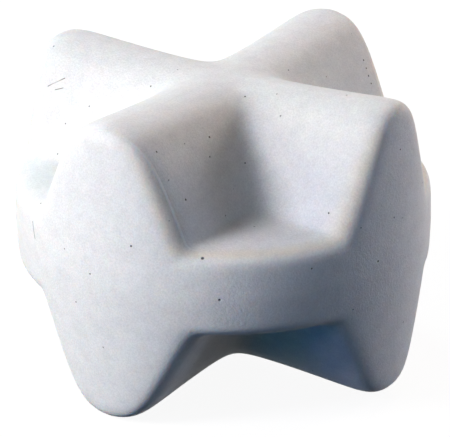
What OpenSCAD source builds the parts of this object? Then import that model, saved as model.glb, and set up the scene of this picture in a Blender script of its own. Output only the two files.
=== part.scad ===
// Double-cross magnetic stir bar: a rod magnet sealed inside a moulded fluoropolymer jacket.
// A round middle band carries a raised cross of two ridges on its top, and the same underneath,
// with a wedge-shaped pocket in each quarter. +Z is the spin axis, +X runs along the wider ridge,
// over the magnet, and z = 0 is the level that the four lower lobe tips stand on.

/* [Middle band] */
// Diameter over the middle band and the lobes
band_d = 9.5; // [8.5:0.1:12]
// Thickness of the band, from a lower pocket floor to an upper one
band_h = 2.1; // [1.2:0.05:3.2]
// Draft angle of the outer face, which sets the lobe tips a little inside the band
face_draft = 1.3; // [0:0.1:4]

/* [End faces] */
// Height of both end faces above and below the mid-plane, at the axis
hub_h = 3.3; // [2.6:0.05:4]
// How far the wider ridge's crest climbs from the axis to its two lobe tips
wide_climb = 0.2; // [0:0.05:0.7]
// How far the narrower ridge's crest climbs from the axis to its two lobe tips
narrow_climb = 0.15; // [0:0.05:0.7]

/* [Ridges] */
// Width of the wider ridge at the mid-plane, where it crosses the axis over the magnet
wide_mid_w = 4.95; // [3.8:0.05:6.4]
// Width of the wider ridge's lobes at the mid-plane, where they reach the outer face
wide_lobe_w = 5.25; // [3.6:0.05:5.8]
// Draft angle of the wider ridge's walls where it crosses the axis
wide_mid_draft = 24; // [12:1:30]
// Draft angle of the wider ridge's walls at its lobes
wide_lobe_draft = 27; // [12:1:32]
// Width of the narrower ridge at the mid-plane, where it crosses the axis
narrow_mid_w = 4.2; // [3.2:0.05:5.6]
// Width of the narrower ridge's lobes at the mid-plane, where they reach the outer face
narrow_lobe_w = 4.7; // [3.6:0.05:5.8]
// Draft angle of the narrower ridge's walls where it crosses the axis
narrow_mid_draft = 21; // [12:1:30]
// Draft angle of the narrower ridge's walls at its lobes
narrow_lobe_draft = 24; // [12:1:32]

/* [Edges] */
// Radius along the ridge crests
crest_r = 0.85; // [0.4:0.05:1.6]
// Radius over the eight lobe tips
tip_r = 0.55; // [0.3:0.05:1.2]
// Radius of the upright edges between the outer face and the pocket walls
upright_r = 0.65; // [0.15:0.05:1.4]
// Radius of the soft roll that the outer face makes before it reaches an upright edge
roll_r = 0.9; // [0.5:0.05:1.6]
// How far back that roll takes the outer face at the edge
roll_depth = 0.08; // [0:0.01:0.4]
// Radius of the band's rim under each pocket
rim_r = 0.75; // [0.3:0.05:1.2]
// Fillet where two pocket walls meet
valley_r = 0.85; // [0.3:0.05:1.6]
// Fillet round each pocket floor
floor_fillet_r = 0.5; // [0.25:0.05:1.2]

/* [Magnet] */
// Diameter of the rod magnet
magnet_d = 2.4; // [1:0.1:2.8]
// Length of the rod magnet
magnet_l = 6.4; // [3:0.1:7]
// Chamfer on both ends of the magnet
magnet_chamfer = 0.25; // [0.05:0.05:0.4]

/* [Hidden] */

band_r = band_d / 2;
floor_z = band_h / 2;
// Height of the lobe tips above or below the mid-plane, before their edges are rounded
tip_h = hub_h + (wide_climb + narrow_climb) / 2;
// Facets along each edge of the square nets that cover the jacket
lattice_n = 30;
// Where two gauges are blended with a power, a corner at distance L from the centre is rounded
// about as much as a radius of blend_k * L / power would round it
blend_k = 1.67;
crest_power = blend_k * tip_h / crest_r;
valley_power = blend_k * tip_h / valley_r;
floor_power = blend_k * tip_h / floor_fillet_r;
tip_power = blend_k * norm([band_r, tip_h]) / tip_r;
upright_power = blend_k * band_r / upright_r;
rim_power = blend_k * band_r / rim_r;
roll_power = blend_k * band_r / roll_r;
// Weight of the roll that gives its depth; below 1 the pocket walls stay flat
roll_weight = min(roll_depth * roll_power / band_r, 0.8);
// Least value of a length that is raised to a negative power
tiny = 1e-4;

// Each form is a gauge of a direction d: it is 1 on the form's surface when d reaches that far,
// and it grows in proportion to d. The blends below join gauges with a rounded edge or a fillet.
function blend_inside(a, b, power) = pow(pow(a, power) + pow(b, power), 1 / power);
function share(a, b, power) = pow(a, power) / (pow(a, power) + pow(b, power));

// The drafted drum that the whole jacket is cut to, and the slab between the pocket floors
function drum(rho, z) = (rho + tan(face_draft) * z) / band_r;
function slab(z) = max(z, tiny) / floor_z;

// A dished end face: it climbs from the hub to the lobe tips, by its own amount along each ridge
function steepness(rise) = (pow(hub_h + rise, 2) - pow(hub_h, 2)) / pow(band_r, 2);
function end_face(x, y, z) =
    let (climb = steepness(wide_climb) * x * x + steepness(narrow_climb) * y * y)
    max(sqrt(max(z * z - climb, 0)), tiny) / hub_h;

// Both drafted walls of a ridge. Their width and their slope change evenly from the axis to the lobes.
function walls(along, across, z, mid_w, tip_w, mid_draft, tip_draft) =
    let (
        flare = (tip_w - mid_w) / 2 / band_r,
        slope = tan(mid_draft) + (tan(tip_draft) - tan(mid_draft)) * along
    )
    max(across - flare * along + slope * z, tiny) / (mid_w / 2);

// How far the jacket reaches in a direction of length 1: the cross of both ridges under the end
// faces, joined to the slab and cut to the drum, whose face rolls back beside the ridges' walls.
// Each edge is rounded by the power of what meets there.
function reach(d) =
    let (
        x = abs(d.x),
        y = abs(d.y),
        z = abs(d.z),
        top = end_face(x, y, z),
        wide = walls(x, y, z, wide_mid_w, wide_lobe_w, wide_mid_draft, wide_lobe_draft),
        narrow = walls(y, x, z, narrow_mid_w, narrow_lobe_w, narrow_mid_draft, narrow_lobe_draft),
        sides = blend_inside(wide, narrow, -valley_power),
        cross = blend_inside(top, sides, crest_power),
        cross_edge = tip_power + (upright_power - tip_power) * share(sides, top, crest_power),
        body = blend_inside(cross, slab(z), -floor_power),
        floor_share = share(slab(z), cross, -floor_power),
        edge = cross_edge + (rim_power - cross_edge) * floor_share,
        roll = roll_weight * share(sides, top, crest_power) * (1 - floor_share),
        face = blend_inside(drum(norm([x, y]), z), pow(roll, 1 / roll_power) * body, roll_power)
    )
    1 / blend_inside(body, face, edge);

// The lattice: a square net on each cap and rows round the side, each point pushed out along its
// own direction. The rows crowd together at the band's rim, and one row follows the rim itself.
rim_slope = floor_z / band_r;
// Share of the rows, from the mid-plane up, that lie below the rim
rim_share = 0.3;
row_curve = ((1 - rim_slope) / (1 - rim_share) - rim_slope / rim_share) / (1 - 2 * rim_share);
row_rate = rim_slope / rim_share - row_curve * rim_share * rim_share;
function row_slope(s) = rim_slope + row_rate * (s - rim_share) + row_curve * pow(s - rim_share, 3);
function skin_point(i, j, k) =
    let (
        a = 2 * i / lattice_n - 1,
        b = 2 * j / lattice_n - 1,
        row = 2 * k / lattice_n - 1,
        v = [a * sqrt(1 - b * b / 2), b * sqrt(1 - a * a / 2), sign(row) * row_slope(abs(row))],
        d = v / norm(v)
    )
    d * reach(d);

cap_side = lattice_n + 1;
cap_count = cap_side * cap_side;
ring_count = 4 * lattice_n;
// Lattice columns of the s-th point round the cube's sides
function ring_i(s) = min(max(s < 2 * lattice_n ? s : 3 * lattice_n - s, 0), lattice_n);
function ring_j(s) = min(max(s < 3 * lattice_n ? s - lattice_n : 4 * lattice_n - s, 0), lattice_n);
// Number of a point on a cap (level 0 or 1), and of the s-th point round the sides at height k
function cap_id(level, i, j) = level * cap_count + j * cap_side + i;
function side_id(k, s) =
    let (t = s % ring_count)
    k == 0 ? cap_id(0, ring_i(t), ring_j(t))
    : k == lattice_n ? cap_id(1, ring_i(t), ring_j(t))
    : 2 * cap_count + (k - 1) * ring_count + t;

skin_points = [
    for (level = [0, 1], j = [0:lattice_n], i = [0:lattice_n]) skin_point(i, j, level * lattice_n),
    for (k = [1:lattice_n - 1], s = [0:ring_count - 1]) skin_point(ring_i(s), ring_j(s), k)
];
skin_quads = [
    for (j = [0:lattice_n - 1], i = [0:lattice_n - 1])
        [cap_id(0, i, j), cap_id(0, i + 1, j), cap_id(0, i + 1, j + 1), cap_id(0, i, j + 1)],
    for (j = [0:lattice_n - 1], i = [0:lattice_n - 1])
        [cap_id(1, i, j), cap_id(1, i, j + 1), cap_id(1, i + 1, j + 1), cap_id(1, i + 1, j)],
    for (k = [0:lattice_n - 1], s = [0:ring_count - 1])
        [side_id(k, s), side_id(k + 1, s), side_id(k + 1, s + 1), side_id(k, s + 1)]
];
// Each quad is split along its shorter diagonal
skin_faces = [
    for (q = skin_quads)
        let (
            across_a = norm(skin_points[q[0]] - skin_points[q[2]]),
            across_b = norm(skin_points[q[1]] - skin_points[q[3]])
        )
        each across_a <= across_b
            ? [[q[0], q[1], q[2]], [q[0], q[2], q[3]]]
            : [[q[0], q[1], q[3]], [q[1], q[2], q[3]]]
];
// Height of the mid-plane over the lobe tips
mid_z = max([for (p = skin_points) p.z]);

module rod_magnet() {
    translate([0, 0, mid_z])
        rotate([0, 90, 0])
            rotate_extrude($fn = 96)
                polygon([
                    [0, -magnet_l / 2],
                    [magnet_d / 2 - magnet_chamfer, -magnet_l / 2],
                    [magnet_d / 2, magnet_chamfer - magnet_l / 2],
                    [magnet_d / 2, magnet_l / 2 - magnet_chamfer],
                    [magnet_d / 2 - magnet_chamfer, magnet_l / 2],
                    [0, magnet_l / 2]
                ]);
}

// The jacket is moulded round the magnet, so its sealed cavity has exactly the magnet's form
module jacket() {
    color([0.93, 0.93, 0.94])
        difference() {
            translate([0, 0, mid_z]) polyhedron(points = skin_points, faces = skin_faces, convexity = 6);
            rod_magnet();
        }
}

module magnet() {
    color([0.33, 0.34, 0.36]) rod_magnet();
}

jacket();
magnet();
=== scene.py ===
import math

import bmesh
import bpy
from mathutils import Matrix, Vector
from mathutils.bvhtree import BVHTree


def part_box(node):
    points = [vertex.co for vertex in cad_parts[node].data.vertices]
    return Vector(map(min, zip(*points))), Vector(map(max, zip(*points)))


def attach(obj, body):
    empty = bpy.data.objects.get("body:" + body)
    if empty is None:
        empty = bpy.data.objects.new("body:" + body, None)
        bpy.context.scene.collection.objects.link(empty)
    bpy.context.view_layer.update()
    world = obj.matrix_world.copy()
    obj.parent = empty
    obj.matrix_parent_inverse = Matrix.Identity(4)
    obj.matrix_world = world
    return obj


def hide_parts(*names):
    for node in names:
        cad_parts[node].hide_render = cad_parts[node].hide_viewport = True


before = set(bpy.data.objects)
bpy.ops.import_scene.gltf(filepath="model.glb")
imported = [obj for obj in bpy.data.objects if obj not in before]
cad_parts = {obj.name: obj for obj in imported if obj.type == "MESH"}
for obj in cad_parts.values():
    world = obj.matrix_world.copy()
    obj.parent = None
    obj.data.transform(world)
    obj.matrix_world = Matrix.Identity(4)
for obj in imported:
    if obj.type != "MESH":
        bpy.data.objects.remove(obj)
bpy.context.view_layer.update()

# Camera: it looks down on the bar from the front left, through a long lens, so that the wide ridge's
# left end and the narrow ridge's near end both face it.
MM = 0.001
azimuth = math.radians(-54.531)
elevation = math.radians(22.572)
roll = math.radians(0.356)
distance = 75.63 * MM
lens = 270.51
sensor = 36
aim_right = 0.0263 * MM
aim_up = -0.1054 * MM

jacket_low, jacket_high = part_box("jacket")
middle = (jacket_low + jacket_high) / 2
toward_camera = Vector((math.sin(azimuth), -math.cos(azimuth), 0))
level_right = Vector((math.cos(azimuth), math.sin(azimuth), 0))
back = math.cos(elevation) * toward_camera + Vector((0, 0, math.sin(elevation)))
level_up = back.cross(level_right)
right = math.cos(roll) * level_right + math.sin(roll) * level_up
up = back.cross(right)
camera_data = bpy.data.cameras.new("camera")
camera_data.sensor_width = sensor
camera_data.lens = lens
camera_data.clip_start = 1 * MM
camera_data.clip_end = 2000 * MM
camera = bpy.data.objects.new("camera", camera_data)
place = middle + distance * back + aim_right * right + aim_up * up
camera.matrix_world = Matrix((
    (right.x, up.x, back.x, place.x),
    (right.y, up.y, back.y, place.y),
    (right.z, up.z, back.z, place.z),
    (0, 0, 0, 1),
))
bpy.context.scene.collection.objects.link(camera)
bpy.context.scene.camera = camera

# Grain: the fine structure that a powder leaves in what is pressed and fired from it, whether
# fluoropolymer or alloy. It gives a height for the surface and a slow mottle; its fineness is in grains
# to the metre.
def add(tree, kind, inputs=None, **settings):
    """Add a node with its settings; each input takes a value, or a link from a socket."""
    node = tree.nodes.new(kind)
    for name, value in settings.items():
        setattr(node, name, value)
    for name, value in (inputs or {}).items():
        if isinstance(value, bpy.types.NodeSocket):
            tree.links.new(value, node.inputs[name])
        else:
            node.inputs[name].default_value = value
    return node


def new_group(name, inputs, outputs):
    """A node group with its sockets; the outputs are numbers. It comes with what its input node gives."""
    group = bpy.data.node_groups.new(name, "ShaderNodeTree")
    for socket, kind in inputs.items():
        group.interface.new_socket(socket, in_out="INPUT", socket_type=f"NodeSocket{kind}")
    for socket in outputs:
        group.interface.new_socket(socket, in_out="OUTPUT", socket_type="NodeSocketFloat")
    return group, add(group, "NodeGroupInput").outputs


grain, given = new_group("grain", {"Place": "Vector", "Fineness": "Float"}, ("Height", "Mottle"))
fine = add(grain, "ShaderNodeTexNoise", {
    "Vector": given["Place"], "Scale": given["Fineness"], "Detail": 2.0, "Roughness": 0.6,
})
# The mottle is this much wider than the grain, as a share of its fineness
mottle_share = 0.12
slower = add(grain, "ShaderNodeMath", {0: given["Fineness"], 1: mottle_share}, operation="MULTIPLY")
cloud = add(grain, "ShaderNodeTexNoise", {
    "Vector": given["Place"], "Scale": slower.outputs[0], "Detail": 3.0, "Roughness": 0.55,
})
add(grain, "NodeGroupOutput", {"Height": fine.outputs["Fac"], "Mottle": cloud.outputs["Fac"]})

# Jacket: a single white fluoropolymer moulding, pressed from powder round the magnet and sintered.
# Its form follows the solid's: a drum with dished ends, notched by four wedges above and four below.
# It has the slight lean and bow that such a small moulding takes on as it cools.
band_d = 9.5 * MM
band_h = 2.1 * MM
face_draft = math.radians(1.52)
hub_h = 3.274 * MM
wide_climb = 0.233 * MM
narrow_climb = 0.165 * MM
wide_mid_w = 4.813 * MM
wide_lobe_w = 5.361 * MM
wide_mid_draft = math.radians(25)
wide_lobe_draft = math.radians(27.9)
narrow_mid_w = 4.1 * MM
narrow_lobe_w = 4.831 * MM
narrow_mid_draft = math.radians(20.9)
narrow_lobe_draft = math.radians(24.5)
wide_elsewhere = (wide_mid_w, wide_lobe_w, wide_mid_draft, wide_lobe_draft)
narrow_elsewhere = (narrow_mid_w, narrow_lobe_w, narrow_mid_draft, narrow_lobe_draft)
# The upper pocket in front is moulded a little wider than the others: the same four sizes of its walls
wide_in_front = (4.87 * MM, 4.68 * MM, math.radians(24.1), math.radians(21.4))
narrow_in_front = (4.03 * MM, 4.96 * MM, math.radians(21.1), math.radians(29.5))
crest_r = 0.74 * MM
tip_r = 0.4 * MM
wide_upright_r = 0.3 * MM
narrow_upright_r = 0.55 * MM
roll_r = 0.79 * MM
wide_roll_depth = 0.1 * MM
narrow_roll_depth = 0.12 * MM
rim_r = 0.81 * MM
valley_r = 0.75 * MM
floor_fillet_r = 0.3 * MM
# Faces along each edge of the cube that is blown out to the form
facets = 112

band_r = band_d / 2
floor_z = band_h / 2
tip_h = hub_h + (wide_climb + narrow_climb) / 2
# A corner at distance L from the centre is rounded about as much by a blend of this power as by a
# radius of blend_k * L / power
blend_k = 1.67
crest_power = blend_k * tip_h / crest_r
valley_power = blend_k * tip_h / valley_r
floor_power = blend_k * tip_h / floor_fillet_r
tip_power = blend_k * math.hypot(band_r, tip_h) / tip_r
wide_upright_power = blend_k * band_r / wide_upright_r
narrow_upright_power = blend_k * band_r / narrow_upright_r
rim_power = blend_k * band_r / rim_r
roll_power = blend_k * band_r / roll_r
# Weights of the roll that give its depth beside each ridge; below the limit the pocket walls stay flat
roll_limit = 0.8
wide_roll = min(wide_roll_depth * roll_power / band_r, roll_limit)
narrow_roll = min(narrow_roll_depth * roll_power / band_r, roll_limit)
# Least value of a length that is raised to a negative power
tiny = 0.0001 * MM


def blend_inside(a, b, power):
    """Join two gauges of a direction with a rounded edge, or with a fillet if the power is negative."""
    larger, smaller = (a, b) if (a > b) == (power > 0) else (b, a)
    return larger * (1 + (smaller / larger) ** power) ** (1 / power)


def share(a, b, power):
    """How much of a joint between two gauges belongs to the first, from 0 to 1."""
    return 1 / (1 + (b / a) ** power)


def end_face(x, y, z):
    """Gauge of the dished end face, which climbs from the hub to the lobe tips."""
    wide_rise = ((hub_h + wide_climb) ** 2 - hub_h**2) / band_r**2
    narrow_rise = ((hub_h + narrow_climb) ** 2 - hub_h**2) / band_r**2
    return max(math.sqrt(max(z * z - wide_rise * x * x - narrow_rise * y * y, 0)), tiny) / hub_h


def walls(along, across, z, mid_w, lobe_w, mid_draft, lobe_draft):
    """Gauge of a ridge's two drafted walls, whose width and slope change from the axis to the lobes."""
    flare = (lobe_w - mid_w) / 2 / band_r
    slope = math.tan(mid_draft) + (math.tan(lobe_draft) - math.tan(mid_draft)) * along
    return max(across - flare * along + slope * z, tiny) / (mid_w / 2)


def form(direction):
    """How far the jacket reaches from its middle in a direction of length 1; how far beside a pocket's
    edge that is, below zero on the pocket's side; and how much the edge there is an upright one."""
    x, y, z = (abs(part) for part in direction)
    drum = (math.hypot(x, y) + math.tan(face_draft) * z) / band_r
    slab = max(z, tiny) / floor_z
    top = end_face(x, y, z)
    in_front = direction.x < 0 and direction.y < 0 < direction.z
    wide = walls(x, y, z, *(wide_in_front if in_front else wide_elsewhere))
    narrow = walls(y, x, z, *(narrow_in_front if in_front else narrow_elsewhere))
    sides = blend_inside(wide, narrow, -valley_power)
    cross = blend_inside(top, sides, crest_power)
    side = share(narrow, wide, -valley_power)
    upright_power = wide_upright_power + (narrow_upright_power - wide_upright_power) * side
    cross_edge = tip_power + (upright_power - tip_power) * share(sides, top, crest_power)
    body = blend_inside(cross, slab, -floor_power)
    floor_share = share(slab, cross, -floor_power)
    edge = cross_edge + (rim_power - cross_edge) * floor_share
    upright = share(sides, top, crest_power) * (1 - floor_share)
    roll = (narrow_roll * side + wide_roll * (1 - side)) * upright
    outer_face = drum * (1 + roll * (body / drum) ** roll_power) ** (1 / roll_power)
    return 1 / blend_inside(body, outer_face, edge), 1 - body / outer_face, upright


# Lean, bow, spread and twist of the cooled moulding, as shares of the band's radius
lean = Vector((-0.0314, -0.0044))
bow = Vector((0.0188, 0.0159))
step_out = Vector((0.0442, 0.0325))
tilt = Vector((0.0019, -0.0333))
taper = 0.0113
twist = 0.0056
oval = 0.0132
skew = -0.0456
swell = 0.0137
# Half the height about the mid-plane over which the step outward eases in
flat_middle = 0.1
# Raised a hair so that the lowest tip just meets the floor
stand = Vector((0, 0, 0.035 * MM))


def settle(point):
    """Move a point of the ideal form, in band radii from its middle, to its place on the moulding."""
    x, y, z = point
    rise = math.hypot(z, flat_middle) - flat_middle
    x += step_out.x * rise
    y += step_out.y * rise
    x, y = x * (1 + oval), y * (1 - oval) - skew * x
    x *= 1 + taper * z
    y *= 1 + taper * z
    turn = twist * z
    x, y = x * math.cos(turn) - y * math.sin(turn), x * math.sin(turn) + y * math.cos(turn)
    x += lean.x * z + bow.x * z * z
    y += lean.y * z + bow.y * z * z
    z += rise * (tilt.x * x + tilt.y * y)
    z += swell * z * z
    return Vector((x, y, z))


# The sealed cavity is the solid's own; the outer skin is a finely divided cube, blown out to the form
merge_distance = 0.001 * MM
magnet_low, magnet_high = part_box("magnet")
jacket_mesh = bpy.data.meshes.new("moulded_jacket")
skin = bmesh.new()
skin.from_mesh(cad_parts["jacket"].data)
bmesh.ops.remove_doubles(skin, verts=skin.verts, dist=merge_distance)
margin = merge_distance * Vector((1, 1, 1))
cavity_low = magnet_low - margin
cavity_high = magnet_high + margin
outer = [
    vertex for vertex in skin.verts
    if any(not cavity_low[axis] < vertex.co[axis] < cavity_high[axis] for axis in range(3))
]
bmesh.ops.delete(skin, geom=outer, context="VERTS")
cube_half = 1
blown = bmesh.ops.create_cube(skin, size=2 * cube_half)["verts"]
cube_edges = list({edge for vertex in blown for edge in vertex.link_edges})
bmesh.ops.subdivide_edges(skin, edges=cube_edges, cuts=facets - 1, use_grid_fill=True)
beside_edge = skin.verts.layers.float.new("beside_edge")
upright_edge = skin.verts.layers.float.new("upright_edge")
# Every point of the cube stands far outside the little cavity
for vertex in skin.verts:
    if max(abs(part) for part in vertex.co) > cube_half / 2:
        direction = Vector([math.tan(part * math.pi / 4) for part in vertex.co]).normalized()
        far, vertex[beside_edge], vertex[upright_edge] = form(direction)
        vertex.co = middle + band_r * settle(direction * far / band_r) + stand
for face in skin.faces:
    face.smooth = True
skin.to_mesh(jacket_mesh)
surface = BVHTree.FromBMesh(skin)
skin.free()
jacket = bpy.data.objects.new("moulded_jacket", jacket_mesh)
bpy.context.scene.collection.objects.link(jacket)

# Marks that this bar has picked up, as round pits and fine scratches in its skin. Each is placed by
# where the camera sees it: millimetres to the right of the view's middle, and above it.
def seen_at(across, above):
    """The skin's point that the camera sees there, at the bar's own distance, or the one nearest to that."""
    sight = across * MM * right + above * MM * up - distance * back
    return surface.ray_cast(place, sight)[0] or surface.find_nearest(place + sight)[0]


def fade(tree, value, start, end):
    """A soft step of a value: 0 at its start and before it, 1 at its end and beyond it."""
    return add(tree, "ShaderNodeMapRange", {
        "Value": value, "From Min": start, "From Max": end,
    }, interpolation_type="SMOOTHSTEP").outputs[0]


# Share of a mark's half width over which it is at its full depth
pit_core = 0.45
scratch_core = 0.3

pit, given = new_group("pit", {"Place": "Vector", "Centre": "Vector", "Radius": "Float"}, ("Mask",))
away = add(pit, "ShaderNodeVectorMath", {0: given["Place"], 1: given["Centre"]}, operation="DISTANCE")
core = add(pit, "ShaderNodeMath", {0: given["Radius"], 1: pit_core}, operation="MULTIPLY").outputs[0]
add(pit, "NodeGroupOutput", {"Mask": fade(pit, away.outputs["Value"], given["Radius"], core)})

scratch, given = new_group(
    "scratch", {"Place": "Vector", "Start": "Vector", "End": "Vector", "Width": "Float"}, ("Mask",)
)
run = add(scratch, "ShaderNodeVectorMath", {0: given["End"], 1: given["Start"]}, operation="SUBTRACT")
gone = add(scratch, "ShaderNodeVectorMath", {0: given["Place"], 1: given["Start"]}, operation="SUBTRACT")
run = run.outputs[0]
gone = gone.outputs[0]
ahead = add(scratch, "ShaderNodeVectorMath", {0: gone, 1: run}, operation="DOT_PRODUCT").outputs["Value"]
whole = add(scratch, "ShaderNodeVectorMath", {0: run, 1: run}, operation="DOT_PRODUCT").outputs["Value"]
passed = add(scratch, "ShaderNodeMath", {0: ahead, 1: whole}, operation="DIVIDE", use_clamp=True).outputs[0]
along = add(scratch, "ShaderNodeVectorMath", {0: run, "Scale": passed}, operation="SCALE").outputs[0]
away = add(scratch, "ShaderNodeVectorMath", {0: gone, 1: along}, operation="DISTANCE")
core = add(scratch, "ShaderNodeMath", {0: given["Width"], 1: scratch_core}, operation="MULTIPLY").outputs[0]
add(scratch, "NodeGroupOutput", {"Mask": fade(scratch, away.outputs["Value"], given["Width"], core)})

# Pits as across, above and radius; scratches and painted glints, which are short painted highlights, as
# across and above of both ends, and half the width
pits = (
    (-0.50, -0.89, 0.042), (-0.12, -1.82, 0.034), (-0.88, 0.42, 0.032), (2.72, 2.76, 0.028),
    (0.45, 2.73, 0.026), (-2.10, -0.62, 0.030), (-0.35, 1.82, 0.034), (-0.34, 1.38, 0.026),
    (0.45, 1.24, 0.024), (-1.53, 1.49, 0.028), (-3.02, -1.24, 0.026), (3.42, -0.96, 0.030),
    (2.32, 0.12, 0.026), (3.92, 1.54, 0.026), (3.78, 0.02, 0.024), (1.94, -1.12, 0.024),
    (2.86, -2.04, 0.024), (-1.66, 2.96, 0.026), (1.42, 3.32, 0.022), (-4.12, 0.34, 0.024),
    (3.10, 3.54, 0.030), (3.16, 3.36, 0.026), (3.21, 3.19, 0.032), (3.27, 3.02, 0.026),
)
scratches = (
    (-4.30, -0.07, -4.25, -0.45, 0.016),
    (-3.96, 2.96, -3.58, 3.14, 0.012),
    (-3.80, 2.88, -3.62, 2.92, 0.010),
)
# Painted glints: a painted highlight at the narrow ridge's near lobe corner and one along the wide ridge's
# left lobe tip
painted_glints = (
    (3.78, 2.27, 3.92, 2.46, 0.02),
    (-2.92, 1.96, -2.65, 1.97, 0.03),
)

# The polymer is white and lets light in a little way. Its pressed and sintered grain shows as a fine
# mottle, and it is coarser and glints where the mould's punch pressed it low in the pockets.
polymer = bpy.data.materials.new("sintered_polymer")
polymer.use_nodes = True
shader = polymer.node_tree.nodes["Principled BSDF"]
shader.inputs["IOR"].default_value = 1.36
shader.inputs["Specular IOR Level"].default_value = 0.1
shader.inputs["Subsurface Weight"].default_value = 0.7
shader.inputs["Subsurface Radius"].default_value = (1, 0.65, 0.48)
shader.inputs["Subsurface Scale"].default_value = 0.16 * MM
spot = add(polymer.node_tree, "ShaderNodeTexCoord").outputs["Object"]


def by_group(group, **inputs):
    """Use a node group in the polymer on the spot itself."""
    node = add(polymer.node_tree, "ShaderNodeGroup", node_tree=group)
    polymer.node_tree.links.new(spot, node.inputs["Place"])
    for name, value in inputs.items():
        node.inputs[name].default_value = value
    return node.outputs


def calculate(operation, *values, **settings):
    """A math node's result in the polymer."""
    inputs = dict(enumerate(values))
    return add(polymer.node_tree, "ShaderNodeMath", inputs, operation=operation, **settings).outputs[0]


def stroke(across, above, end_across, end_above, width):
    """Mask of a straight mark in the polymer from one seen place to another."""
    return by_group(
        scratch, Start=seen_at(across, above), End=seen_at(end_across, end_above), Width=width * MM
    )["Mask"]


def tinted(factor, first, second, **settings):
    """Two colours of the polymer, mixed by a factor."""
    inputs = {0: factor, 6: first, 7: second}
    return add(polymer.node_tree, "ShaderNodeMix", inputs, data_type="RGBA", **settings).outputs[2]


marks = 0.0
for across, above, radius in pits:
    mask = by_group(pit, Centre=seen_at(across, above), Radius=radius * MM)["Mask"]
    marks = calculate("MAXIMUM", marks, mask)
for ends in scratches:
    marks = calculate("MAXIMUM", marks, stroke(*ends))
# More pits, strewn at random: the few cells of a lattice whose point lies just under the skin, within
# this reach as a share of a cell
cells_per_metre = 1700.0
strewn_reach = 0.035
strewn_depth = 0.7
strewn = add(polymer.node_tree, "ShaderNodeTexVoronoi", {"Vector": spot, "Scale": cells_per_metre}).outputs
near = calculate("LESS_THAN", strewn["Distance"], strewn_reach)
marks = calculate("MAXIMUM", marks, calculate("MULTIPLY", near, strewn_depth))

# The mould's witness line: a thin raised ridge along the upper pockets' upright edges, painted pale as a
# highlight on those crisp edges, which stops at the near end of the narrow ridge, and two painted glints.
# The half widths of its foot and its crest are shares of how far the form reaches there.
line_foot = 0.012
line_crest = 0.002
# Where the painted pale line stops, at the near end of the narrow ridge
line_stops_at = -3.2 * MM
beside, upright = [
    add(polymer.node_tree, "ShaderNodeAttribute", attribute_name=name).outputs["Fac"]
    for name in ("beside_edge", "upright_edge")
]
spot_at = add(polymer.node_tree, "ShaderNodeSeparateXYZ", {"Vector": spot}).outputs
line = fade(polymer.node_tree, calculate("ABSOLUTE", beside), line_foot, line_crest)
line = calculate("MULTIPLY", line, upright)
line = calculate("MULTIPLY", line, calculate("GREATER_THAN", spot_at["Z"], middle.z))
line = calculate("MULTIPLY", line, calculate("GREATER_THAN", spot_at["Y"], line_stops_at))
# The painted glints join the line's mask
for ends in painted_glints:
    line = calculate("MAXIMUM", line, stroke(*ends))

powder = by_group(grain, Fineness=26000.0)
crumbs = by_group(grain, Fineness=11000.0)
punched = by_group(pit, Centre=seen_at(1.7, 0.3), Radius=0.85 * MM)["Mask"]

# Colour: the grain and its mottle swing it a little to both sides, and dirt darkens the marks
grain_swing = 1.5
mottle_swing = 0.8
swing = calculate("MULTIPLY", calculate("SUBTRACT", powder["Height"], 0.5), grain_swing)
cloudy = calculate("MULTIPLY", calculate("SUBTRACT", powder["Mottle"], 0.5), mottle_swing)
swing = calculate("ADD", swing, cloudy)
swing = calculate("ADD", swing, 0.5, use_clamp=True)
colour = tinted(swing, (0.71, 0.71, 0.715, 1), (0.91, 0.91, 0.905, 1))
# Painted warm shade: a creamy tint along the near upper pockets' upright edges and the rim below them, on
# the outer face's side, where the light turns warm at the edge of the shade
painted_warm_shade = upright
for value, start, end, how in (
    (spot_at["Z"], middle.z + 1.9 * MM, middle.z + 1.3 * MM, "MAXIMUM"),
    (spot_at["Z"], middle.z + 0.1 * MM, middle.z + 0.9 * MM, "MULTIPLY"),
    (spot_at["Y"], 1 * MM, -1 * MM, "MULTIPLY"),
    (beside, -0.06, 0.06, "MULTIPLY"),
    (beside, 0.2, 0.07, "MULTIPLY"),
):
    painted_warm_shade = calculate(how, painted_warm_shade, fade(polymer.node_tree, value, start, end))
# The creamy tint is painted warm shade, multiplied into the colour
colour = tinted(painted_warm_shade, colour, (1, 0.95, 0.87, 1), blend_type="MULTIPLY")
line_cover = 0.5
dirt_cover = 0.9
# Painted highlight: the witness line and the glints are mixed towards near white
colour = tinted(calculate("MULTIPLY", line, line_cover), colour, (0.99, 0.98, 0.97, 1))
colour = tinted(calculate("MULTIPLY", marks, dirt_cover), colour, (0.06, 0.06, 0.065, 1))
polymer.node_tree.links.new(colour, shader.inputs["Base Color"])
least_roughness = 0.3
roughness_swing = 0.3
rough = calculate("MULTIPLY_ADD", powder["Height"], roughness_swing, least_roughness)
polymer.node_tree.links.new(rough, shader.inputs["Roughness"])

# Relief: on the powder lie its crumbs, higher ones where it glints, the marks, which are sunk, and the
# line, each with its own height in units of the powder's
powder_h = 0.006 * MM
height = powder["Height"]
for layer, times in (
    (crumbs["Height"], 1.2),
    (calculate("MULTIPLY", crumbs["Height"], punched), 3),
    (marks, -4),
    (line, 2),
):
    height = calculate("ADD", height, calculate("MULTIPLY", layer, times))
relief = add(polymer.node_tree, "ShaderNodeBump", {"Height": height, "Distance": powder_h})
polymer.node_tree.links.new(relief.outputs["Normal"], shader.inputs["Normal"])
jacket_mesh.materials.clear()
jacket_mesh.materials.append(polymer)
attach(jacket, "root")
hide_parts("jacket")

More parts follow.
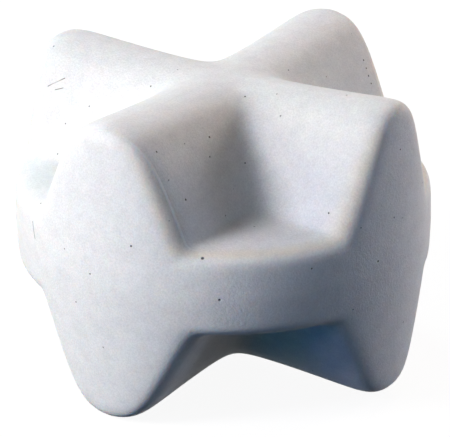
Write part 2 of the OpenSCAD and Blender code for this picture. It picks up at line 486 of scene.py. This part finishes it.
# Magnet: a cast alnico rod, ground to size and sealed in the jacket along the wide ridge. The wheel has
# left fine lines round it, and the metal stays a dull grey.
alloy = bpy.data.materials.new("ground_alloy")
alloy.use_nodes = True
shader = alloy.node_tree.nodes["Principled BSDF"]
shader.inputs["Metallic"].default_value = 1
on_rod = add(alloy.node_tree, "ShaderNodeTexCoord").outputs["Object"]
drawn = add(alloy.node_tree, "ShaderNodeMapping", {"Vector": on_rod, "Scale": (1, 0.08, 0.08)}).outputs[0]
lay = add(alloy.node_tree, "ShaderNodeGroup", {"Fineness": 22000.0}, node_tree=grain)
alloy.node_tree.links.new(drawn, lay.inputs["Place"])
tone = add(alloy.node_tree, "ShaderNodeMix", {
    0: lay.outputs["Mottle"], 6: (0.26, 0.27, 0.285, 1), 7: (0.4, 0.41, 0.43, 1),
}, data_type="RGBA")
alloy.node_tree.links.new(tone.outputs[2], shader.inputs["Base Color"])
dull = add(alloy.node_tree, "ShaderNodeMath", {
    0: lay.outputs["Height"], 1: 0.3, 2: 0.25,
}, operation="MULTIPLY_ADD")
alloy.node_tree.links.new(dull.outputs[0], shader.inputs["Roughness"])
lines = add(alloy.node_tree, "ShaderNodeBump", {"Height": lay.outputs["Height"], "Distance": 0.002 * MM})
alloy.node_tree.links.new(lines.outputs["Normal"], shader.inputs["Normal"])
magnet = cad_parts["magnet"]
magnet.data.materials.clear()
magnet.data.materials.append(alloy)

# Floor: plain white paper, which shows as the white background and keeps the bar's soft shadow. It
# throws next to no light back up at the bar.
floor_mesh = bpy.data.meshes.new("floor")
sheet = bmesh.new()
sheet_reach = 300 * MM
bmesh.ops.create_grid(sheet, x_segments=1, y_segments=1, size=sheet_reach)
sheet.to_mesh(floor_mesh)
sheet.free()
floor = bpy.data.objects.new("floor", floor_mesh)
bpy.context.scene.collection.objects.link(floor)
paper = bpy.data.materials.new("paper")
paper.use_nodes = True


def in_sight(tree):
    """1 for the camera's rays, also by way of a gloss or through a clear body, and 0 for the others."""
    rays = add(tree, "ShaderNodeLightPath").outputs
    direct = add(tree, "ShaderNodeMath", {
        0: rays["Is Camera Ray"], 1: rays["Is Glossy Ray"],
    }, operation="MAXIMUM").outputs[0]
    return add(tree, "ShaderNodeMath", {
        0: direct, 1: rays["Is Transmission Ray"],
    }, operation="MAXIMUM").outputs[0]


dim = paper.node_tree.nodes["Principled BSDF"]
dim.inputs["Base Color"].default_value = (0.02, 0.02, 0.025, 1)
dim.inputs["Roughness"].default_value = 0.9
dim.inputs["Specular IOR Level"].default_value = 0
pale = add(paper.node_tree, "ShaderNodeBsdfDiffuse", {"Color": (0.12, 0.12, 0.12, 1)})
glow = add(paper.node_tree, "ShaderNodeEmission", {"Color": (1, 1, 1, 1), "Strength": 0.93})
lit = add(paper.node_tree, "ShaderNodeAddShader", {0: pale.outputs[0], 1: glow.outputs[0]})
mix = add(paper.node_tree, "ShaderNodeMixShader", {
    0: in_sight(paper.node_tree), 1: dim.outputs[0], 2: lit.outputs[0],
})
paper.node_tree.links.new(mix.outputs[0], paper.node_tree.nodes["Material Output"].inputs["Surface"])
floor_mesh.materials.append(paper)

# Lamps: round soft boxes at one distance from the bar. Each has a bearing in degrees, from the camera's
# side round by the right, a climb in degrees, a width in millimetres and a colour times its strength.
lamp_distance = 60 * MM
lamp_watts = 0.05
lamps = {
    "left_key": (300, 30, 18, (0.557, 0.539, 0.56)),
    "back_key": (205, 35, 18, (0.131, 0.206, 0.226)),
    "right_back_key": (120, 20, 18, (0.219, 0.192, 0.169)),
    "left_key_2": (285, 15, 18, (0.213, 0.201, 0.112)),
    "right_low": (90, 9, 24, (0.115, 0.132, 0.173)),
    "right_back_key_2": (150, 35, 18, (0.166, 0.13, 0.076)),
    "left_low": (300, 9, 24, (0, 0.014, 0.077)),
    "front_key": (330, 30, 18, (0.058, 0.053, 0.053)),
    "front_low": (330, 9, 24, (0, 0.025, 0.048)),
    "back_key_2": (180, 35, 18, (0.033, 0.008, 0.047)),
}
for name, (bearing, climb, width, tint) in lamps.items():
    bearing = math.radians(bearing)
    climb = math.radians(climb)
    level = math.cos(bearing) * toward_camera + math.sin(bearing) * level_right
    direction = math.cos(climb) * level + Vector((0, 0, math.sin(climb)))
    strength = max(tint)
    lamp_data = bpy.data.lights.new(name, "AREA")
    lamp_data.shape = "DISK"
    lamp_data.size = width * MM
    lamp_data.energy = lamp_watts * strength
    lamp_data.color = [part / strength for part in tint]
    lamp = bpy.data.objects.new(name, lamp_data)
    lamp.location = middle + lamp_distance * direction
    lamp.rotation_euler = direction.to_track_quat("Z", "Y").to_euler()
    bpy.context.scene.collection.objects.link(lamp)

# World: the dark studio round the table, which sends the bar no light of its own. Past the sheet's edge
# it shows as white as the sheet does.
world = bpy.data.worlds.new("studio")
world.use_nodes = True
bpy.context.scene.world = world
white = world.node_tree.nodes["Background"]
white.inputs["Color"].default_value = (1, 1, 1, 1)
world.node_tree.links.new(in_sight(world.node_tree), white.inputs["Strength"])

bpy.context.scene.view_settings.view_transform = "Standard"
